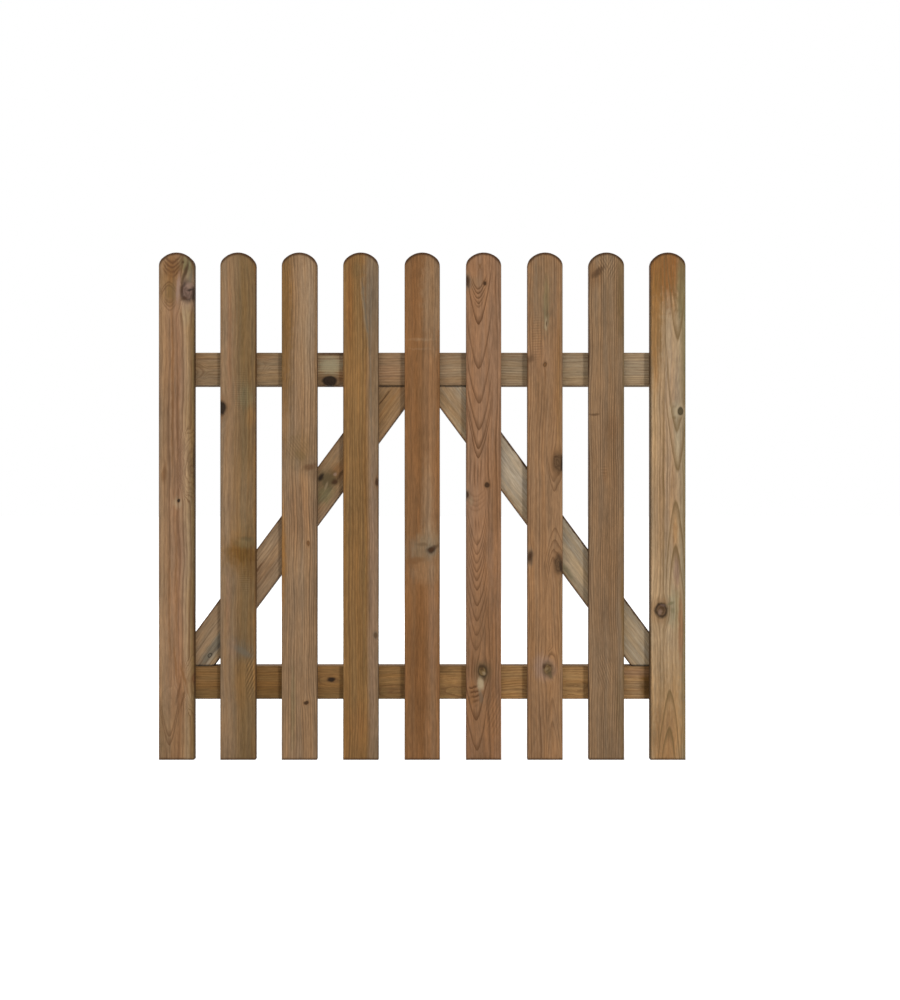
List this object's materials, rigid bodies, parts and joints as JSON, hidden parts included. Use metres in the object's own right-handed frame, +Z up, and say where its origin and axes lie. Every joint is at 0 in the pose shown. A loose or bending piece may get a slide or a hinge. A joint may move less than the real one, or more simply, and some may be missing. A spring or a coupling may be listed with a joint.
{
  "type": "wooden picket garden gate leaf",
  "caption": "Garden gate leaf of round-topped wooden pickets on two rails, with two braces that lean inwards to meet under the top rail.",
  "frame": {"origin": "on the back face of the bottom rail, halfway up it, 120 mm in from the hinge edge", "axes": "+X along the leaf, to the right seen from the front; +Y out of the back; +Z up"},
  "size_m": [1, 0.047, 0.963],
  "materials": {
    "picket_wood": "planed, stained tan to red-brown, matt",
    "frame_wood": "planed, stained golden to grey-brown, matt",
    "fixings": "passivated wood screws, countersunk"
  },
  "bodies": {
    "root": {"picket_1": "picket_wood", "picket_2": "picket_wood", "picket_3": "picket_wood", "picket_4": "picket_wood", "picket_5": "picket_wood", "picket_6": "picket_wood", "picket_7": "picket_wood", "picket_8": "picket_wood", "picket_9": "picket_wood", "bottom_rail": "frame_wood", "top_rail": "frame_wood", "left_brace": "frame_wood", "right_brace": "frame_wood"}
  },
  "joints": []
}
